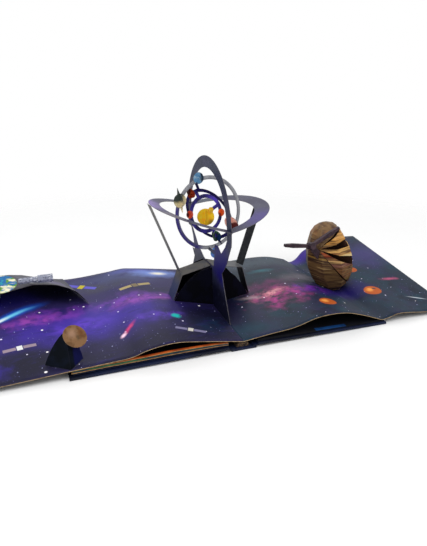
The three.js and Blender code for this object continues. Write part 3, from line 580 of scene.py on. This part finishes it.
fold_face = Paint("print_fold", srgb(3, 3, 9), 0.7, specular=0.05)
fold_face.wash(srgb(7, 7, 22), 18, 0.45, 0.65, seed=2)
fold_face.wash(srgb(30, 34, 58), 3, 0.68, 0.82, seed=5, strength=0.4)
fold_print = fold_face.done()
for node in ("v_fold_front", "v_fold_back"):
    dress(node, fold_print, edge_black)
stand_face = Paint("print_stand", srgb(4, 8, 15), 0.7, specular=0.06)
stand_face.wash(srgb(9, 15, 27), 14, 0.45, 0.65, seed=2)
stand_face.blot(srgb(14, 16, 64), (-202, -112, 18), (9, 20, 30), 0, 0.3, 0.2, 0.95, seed=3)
dress("moon_stand", stand_face.done(), edge_black)

# Struts

dress("strut_left", plain("print_strut_left", (112, 112, 106), (84, 84, 84), 0.5, 6))
dress("strut_right", plain("print_strut_right", (44, 46, 48), (26, 28, 34), 0.5, 6), edge_black)

# Arch flap, which bends, so that each of its flat strips has a small share of its area

FLAP_SHARE = 0.004
flap_face = Paint("print_flap", srgb(62, 62, 76), 0.5)
flap_face.wash(srgb(44, 42, 58), 26, 0.42, 0.62, seed=3)
flap_face.blot(srgb(78, 66, 112), (-216, 60, 36), (26, 60, 30), 0, 0.9, 0.6, 0.8, seed=4)
flap_face.wash(srgb(130, 96, 160), 4, 0.64, 0.8, seed=6, strength=0.5)
dress("arch_flap", flap_face.done(), share=FLAP_SHARE)

# Sun

sun_face = Paint("print_and_shade_sun", srgb(226, 186, 26), 0.55)
sun_face.wash(srgb(236, 146, 16), 8, 0.48, 0.62, seed=2, strength=0.9)
sun_face.wash(srgb(214, 198, 60), 4, 0.5, 0.7, seed=5, strength=0.7)
# Painted shade on the lower right, over the crossing disc
sun_face.blot(srgb(140, 112, 18), (9, 14, 129), (9, 9, 9), 0, 0.5, 0.3, 0.95, seed=6)
sun_face.blot(srgb(244, 176, 70), (5.9, 11, 148.7), (5, 6, 5), 0, 0.2, 0.1, 0.95, seed=7)
dress("sun", sun_face.done(), plain("sun_edge", (216, 170, 40), (170, 130, 30), 0.7, 4))

# Planets: lit colour, shaded colour, how far the shade lies from the middle in X and Z, and the colour of
# the markings

SHADES = {
    "planet_ice": ((92, 140, 178), (10, 34, 54), (6, 1), (160, 188, 206)),
    "planet_rust": ((150, 48, 22), (52, 18, 18), (-5, 4), (176, 78, 40)),
    "planet_ringed": ((200, 186, 144), (40, 54, 54), (-5, 12), (214, 190, 140)),
    "planet_ember": ((186, 56, 34), (58, 16, 22), (-5, 0), (206, 84, 56)),
    "planet_orange": ((218, 84, 32), (120, 30, 14), (-4, -4), (232, 110, 50)),
    "planet_rose": ((226, 160, 142), (82, 24, 26), (6, -5), (236, 190, 172)),
    "planet_green": ((36, 58, 50), (14, 44, 92), (7, -2), (78, 116, 96)),
    "planet_blue": ((98, 136, 214), (14, 14, 66), (7, 1), (70, 128, 138)),
}
for node, (lit, dark, toward, second) in SHADES.items():
    at = middle(node)
    low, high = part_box(node)
    reach = (high.z - low.z) / 2 / MM
    face = Paint(f"print_{node}", srgb(*lit), 0.55)
    face.wash(srgb(*second), 4, 0.45, 0.65, seed=3, strength=0.8, stretch=(2, 2, 0.8))
    shade_at = (at.x + toward[0], at.y, at.z + toward[1])
    shade_size = (reach * 0.85, reach * 2.5, reach)
    face.blot(srgb(*dark), shade_at, shade_size, 0, 0.35, 0.3, 0.97, seed=4, rag_size=5)
    dress(node, face.done(), share=0.05)

# Half-globe, with level stripes


def globe_print(name, base, stripes):
    face = Paint(name, srgb(*base), 0.55)
    for i, (color, low, high) in enumerate(stripes):
        face.layer(srgb(*color), low, high, 0.8, 1.5, seed=i + 2, strength=0.9)
    face.wash(srgb(52, 32, 24), 6, 0.46, 0.58, seed=9, strength=0.75, stretch=(6, 6, 0.45))
    face.wash(srgb(168, 140, 92), 5, 0.56, 0.66, seed=14, strength=0.6, stretch=(6, 6, 0.4))
    return face.done()


# Base colour of each band, and its stripes between the heights low and high of its box

GLOBE_BANDS = {
    "globe_gold": ((176, 124, 56), lambda low, high: [
        ((104, 74, 40), low, low + 0.3 * (high - low)),
        ((206, 152, 84), low + 0.55 * (high - low), high),
    ]),
    "globe_cream": ((196, 150, 84), lambda low, high: [
        ((206, 184, 134), low, low + 0.34 * (high - low)),
        ((150, 84, 40), low + 0.5 * (high - low), low + 0.62 * (high - low)),
    ]),
    "globe_belly": ((124, 84, 52), lambda low, high: [
        ((132, 50, 22), high - 12, high - 4),
        ((188, 150, 96), high - 20, high - 16),
        ((110, 70, 60), high - 27, high - 21),
        ((146, 122, 66), low + 6, low + 11),
        ((70, 44, 40), low + 1, low + 5),
    ]),
    "globe_base": ((98, 74, 44), lambda low, high: [
        ((66, 42, 40), high - 9, high - 6),
        ((150, 124, 78), high - 5, high),
        ((52, 34, 26), high - 22, high - 17),
        ((150, 116, 52), high - 16, high - 13),
        ((44, 28, 22), low + 3, low + 9),
        ((186, 142, 58), low - 2, low + 2),
    ]),
}
for node, (base, stripes) in GLOBE_BANDS.items():
    bottom, top = (corner.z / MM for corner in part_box(node))
    cover(node, globe_print(f"print_{node}", base, stripes(bottom, top)))

cap_face = Paint("print_globe_cap", srgb(118, 92, 62), 0.55)
cap_face.wash(srgb(84, 64, 50), 9, 0.45, 0.65, seed=2)
cap_face.wash(srgb(74, 50, 42), 5, 0.52, 0.66, seed=7, strength=0.8, stretch=(4, 4, 0.7))
cap_face.blot(srgb(206, 132, 70), tuple(middle("globe_cap")), (20, 30, 14), 0, 0.8, 0.6, 0.85, seed=3)
cap_face.wash(srgb(196, 168, 118), 4, 0.6, 0.7, seed=8, strength=0.7, stretch=(4, 4, 0.6))
cover("globe_cap", cap_face.done())
cover("globe_core", plain("print_core", (58, 34, 24), (34, 20, 16), 0.7, 10))
probe_face = plain("print_probe", (66, 48, 56), (34, 26, 34), 0.55, 6)
for node in ("probe_hub", "probe_arm_left", "probe_arm_right", "probe_arm_low"):
    cover(node, probe_face)

# Moon, earth and telescope on the left wing

moon_face = Paint("print_moon", srgb(122, 90, 60), 0.6)
moon_face.wash(srgb(92, 64, 38), 7, 0.45, 0.62, seed=3, strength=0.8)
moon = middle("moon_disc")
dark_side = moon + Vector((8, 3, 2))
pale_side = moon + Vector((-3, 0, 4))
crater = moon + Vector((3, 0, -4))
moon_face.blot(srgb(92, 54, 22), tuple(dark_side), (6, 14, 10), 20, 0.9, 0.8, 0.9, seed=4)
moon_face.blot(srgb(158, 124, 100), tuple(pale_side), (9, 12, 7), 0, 0.9, 0.8, 0.8, seed=5)
moon_face.blot(srgb(74, 62, 44), tuple(crater), (3, 6, 6), 0, 0.9, 0.8, 0.7, seed=6)
dress("moon_disc", moon_face.done(), plain("moon_edge", (150, 124, 92), (110, 86, 60), 0.7, 4))

earth_face = Paint("print_earth", srgb(10, 98, 160), 0.5)
earth_face.wash(srgb(84, 140, 52), 11, 0.5, 0.56, seed=3)
earth_face.wash(srgb(236, 230, 196), 9, 0.54, 0.64, seed=6, stretch=(2, 1, 1))
earth_face.wash(srgb(24, 150, 160), 8, 0.56, 0.66, seed=8)
dress("earth_discs", earth_face.done(), edge_paper)

scope_face = Paint("print_and_highlights_scope", srgb(136, 140, 158), 0.35, specular=0.4)
scope_face.wash(srgb(66, 68, 88), 2, 0.5, 0.62, seed=3, strength=0.85)
# Pale streaks: painted highlights, for a crinkled foil look
scope_face.wash(srgb(218, 222, 230), 2, 0.58, 0.66, seed=5, stretch=(3, 1, 1))
scope_print_and_highlights = scope_face.done()
for node in ("telescope_barrel", "telescope_bay"):
    cover(node, scope_print_and_highlights)

# Leaves of the left page block. What they lie on rises by HINGE_LIFT from the cover's outer edge to its
# inner edge, and they fan out between FAN_FROM and FAN_TO.

COVER_REACH, COVER_INNER, COVER_TOP, HINGE_LIFT = 217 * MM, 20 * MM, 3.2 * MM, 3.4 * MM
FAN_FROM, FAN_TO = 36 * MM, 172 * MM
LEAF = 0.6 * MM
LEAF_STEPS, LEAF_ROWS = 60, 3
SIDE_STEP, FRONT_STEP, BACK_STEP = 0.8 * MM, 0.6 * MM, 1.0 * MM  # how uneven the edges of the stack are

# The block's upper outline, as reach from the spine's centre and height, a little under the spread

BLOCK_TOP = MM * np.array([
    [20.3, 11.4], [60, 14.2], [95, 16.2], [130, 14.6], [160, 12.6], [190, 11.5], [214, 10.8],
])

# Depth below the block's top as a share of its height, at the ends and where the leaves fan out, the two
# colours of the print at the rim, and the cut edge

LEAVES = [
    (0.00, 0.27, (196, 92, 38), (140, 56, 24), "tan"),
    (0.14, 0.38, (176, 104, 50), (92, 52, 36), "brown"),
    (0.30, 0.50, (58, 118, 86), (40, 76, 64), "green"),
    (0.45, 0.62, (132, 96, 62), (84, 60, 44), "tan"),
    (0.60, 0.75, (18, 24, 50), (12, 16, 34), "navy"),
    (0.76, 0.87, (14, 22, 48), (30, 36, 62), "navy"),
]
green_edge = Paint("leaf_edge_green", srgb(22, 48, 92), 0.85)
green_edge.bar(srgb(58, 118, 84), (-160, 0), (36, 140))
leaf_edges = {
    "tan": plain("leaf_edge_tan", (172, 142, 98), (112, 80, 50), 0.85, 5),
    "brown": plain("leaf_edge_brown", (96, 52, 30), (40, 24, 20), 0.85, 6),
    "green": green_edge.done(),
    "navy": plain("leaf_edge_navy", (14, 18, 36), (34, 40, 66), 0.85, 8),
}
block_low, block_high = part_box("page_block_left")


def leaf_height(end_share, fan_share):
    """Height of a leaf that lies that share of the block's height below its top."""
    def height(x, y):
        reach = -x
        top = smooth(BLOCK_TOP, reach.ravel()).reshape(x.shape)
        low = COVER_TOP + HINGE_LIFT * (COVER_REACH - reach) / (COVER_REACH - COVER_INNER)
        fan = np.sin(np.pi * np.clip((reach - FAN_FROM) / (FAN_TO - FAN_FROM), 0, 1))
        return top - (top - low) * (end_share + (fan_share - end_share) * fan)

    return height


def leaf_print_and_shade(name, first, second):
    """Colour along the rim, with painted shade in brown near the gutter, and painted shade, near black,
    inside, where no light reaches.
    """
    face = Paint(name, srgb(*first), 0.95, specular=0.0, grain=0.01)
    face.wash(srgb(*second), 30, 0.4, 0.65, seed=2)
    # Painted shade: brown near the gutter, then near black away from the rim
    face.blot(srgb(44, 22, 16), (-36, -128), (46, 30), 0, 0.5, 0.3, 0.95, seed=3)
    return face.bar(srgb(10, 7, 8), (-110, 0), (220, 125), soft=0.02).done()


for i, (end_share, fan_share, first, second, edge) in enumerate(LEAVES):
    face = leaf_print_and_shade(f"leaf_print_and_shade_{i + 1}", first, second)
    piece = sheet(
        f"leaf_left_{i + 1}",
        np.linspace(block_high.x, block_low.x + (i % 3) * SIDE_STEP, LEAF_STEPS),
        np.linspace(block_low.y + (i * 2 % 3) * FRONT_STEP, block_high.y - (i % 2) * BACK_STEP, LEAF_ROWS),
        leaf_height(end_share, fan_share),
        LEAF,
        [face, face, leaf_edges[edge]],
    )
    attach(piece, "left_side")
    if i == 0:
        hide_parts("page_block_left")

# Dark inside of the left block, in the colour of painted shade, kept back from its edges, so that no light
# shows between the leaves. Its top and its foot are given as shares of the block's height, as in LEAVES.

CORE_BACK = 3 * MM
CORE_STEPS = 50
core_top, core_foot = leaf_height(0.2, 0.46), leaf_height(0.97, 0.97)
core_face = plain("leaf_inside", (26, 20, 20), (14, 12, 16), 0.95, 6)
core = sheet(
    "leaf_core_left",
    np.linspace(block_high.x - CORE_BACK, block_low.x + CORE_BACK, CORE_STEPS),
    np.linspace(block_low.y + CORE_BACK, block_high.y - CORE_BACK, LEAF_ROWS),
    core_top,
    lambda x, y: core_top(x, y) - core_foot(x, y),
    [core_face, core_face, core_face],
)
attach(core, "left_side")

# Right page block and its blue leaf

cover("page_block_right", plain("leaf_dark", (5, 6, 11), (12, 12, 24), 0.8, 8))
cover("blue_leaf_right", plain("print_blue_leaf", (18, 64, 118), (12, 40, 80), 0.55, 12))

# Floor that fades into the white background

FLOOR_HALF = 1.2
FADE = (0.55, 0.95)  # distances between which the floor fades
FLOOR_DROP = 0.5 * MM
FLOOR_WHITE = (0.95, 0.95, 0.95, 1)

floor_paint = bpy.data.materials.new("floor")
floor_paint.use_nodes = True
tree = floor_paint.node_tree
floor_shader = tree.nodes["Principled BSDF"]
floor_shader.inputs["Base Color"].default_value = FLOOR_WHITE
floor_shader.inputs["Roughness"].default_value = 1.0
floor_shader.inputs["Specular IOR Level"].default_value = 0.0
place = tree.nodes.new("ShaderNodeTexCoord")
distance = tree.nodes.new("ShaderNodeVectorMath")
distance.operation = "LENGTH"
fade = tree.nodes.new("ShaderNodeMapRange")
fade.interpolation_type = "SMOOTHSTEP"
fade.inputs["From Min"].default_value, fade.inputs["From Max"].default_value = FADE
clear = tree.nodes.new("ShaderNodeBsdfTransparent")
faded = tree.nodes.new("ShaderNodeMixShader")
tree.links.new(place.outputs["Object"], distance.inputs[0])
tree.links.new(distance.outputs["Value"], fade.inputs["Value"])
tree.links.new(fade.outputs["Result"], faded.inputs["Fac"])
tree.links.new(floor_shader.outputs[0], faded.inputs[1])
tree.links.new(clear.outputs[0], faded.inputs[2])
tree.links.new(faded.outputs[0], tree.nodes["Material Output"].inputs["Surface"])

floor_mesh = bpy.data.meshes.new("floor")
corners = [(x * FLOOR_HALF, y * FLOOR_HALF, 0) for x, y in ((-1, -1), (1, -1), (1, 1), (-1, 1))]
floor_mesh.from_pydata(corners, [], [(0, 1, 2, 3)])
floor_mesh.materials.append(floor_paint)
floor = bpy.data.objects.new("floor", floor_mesh)
floor.location.z = -FLOOR_DROP
bpy.context.scene.collection.objects.link(floor)

# Soft studio lights, as name, place, size and power

LIGHT_TARGET = Vector((0, 0, 0.05))
LIGHTS = [
    ("key", (-0.9, -0.9, 1.6), 1.2, 22),
    ("fill", (1.4, -1.0, 1.1), 1.5, 9),
    ("back", (0.3, 1.5, 1.4), 1.4, 8),
]
for name, spot, size, power in LIGHTS:
    light = bpy.data.lights.new(name, "AREA")
    light.size, light.energy = size, power
    lamp = bpy.data.objects.new(name, light)
    lamp.location = spot
    lamp.rotation_mode = "QUATERNION"
    lamp.rotation_quaternion = (LIGHT_TARGET - Vector(spot)).to_track_quat("-Z", "Y")
    bpy.context.scene.collection.objects.link(lamp)

# Pale surroundings that light the object, and a white background for the rays that show it

SURROUND_STRENGTH, BACKGROUND_STRENGTH = 0.55, 1.0

world = bpy.data.worlds.new("world")
world.use_nodes = True
bpy.context.scene.world = world
tree = world.node_tree
surround = tree.nodes["Background"]
seen = tree.nodes.new("ShaderNodeBackground")
for shader, strength in ((surround, SURROUND_STRENGTH), (seen, BACKGROUND_STRENGTH)):
    shader.inputs["Color"].default_value = (1, 1, 1, 1)
    shader.inputs["Strength"].default_value = strength
paths = tree.nodes.new("ShaderNodeLightPath")
choose = tree.nodes.new("ShaderNodeMixShader")
shows = paths.outputs["Is Camera Ray"]
for kind in ("Is Glossy Ray", "Is Transmission Ray"):
    either = tree.nodes.new("ShaderNodeMath")
    either.operation = "MAXIMUM"
    tree.links.new(shows, either.inputs[0])
    tree.links.new(paths.outputs[kind], either.inputs[1])
    shows = either.outputs[0]
tree.links.new(shows, choose.inputs["Fac"])
tree.links.new(surround.outputs[0], choose.inputs[1])
tree.links.new(seen.outputs[0], choose.inputs[2])
tree.links.new(choose.outputs[0], tree.nodes["World Output"].inputs["Surface"])
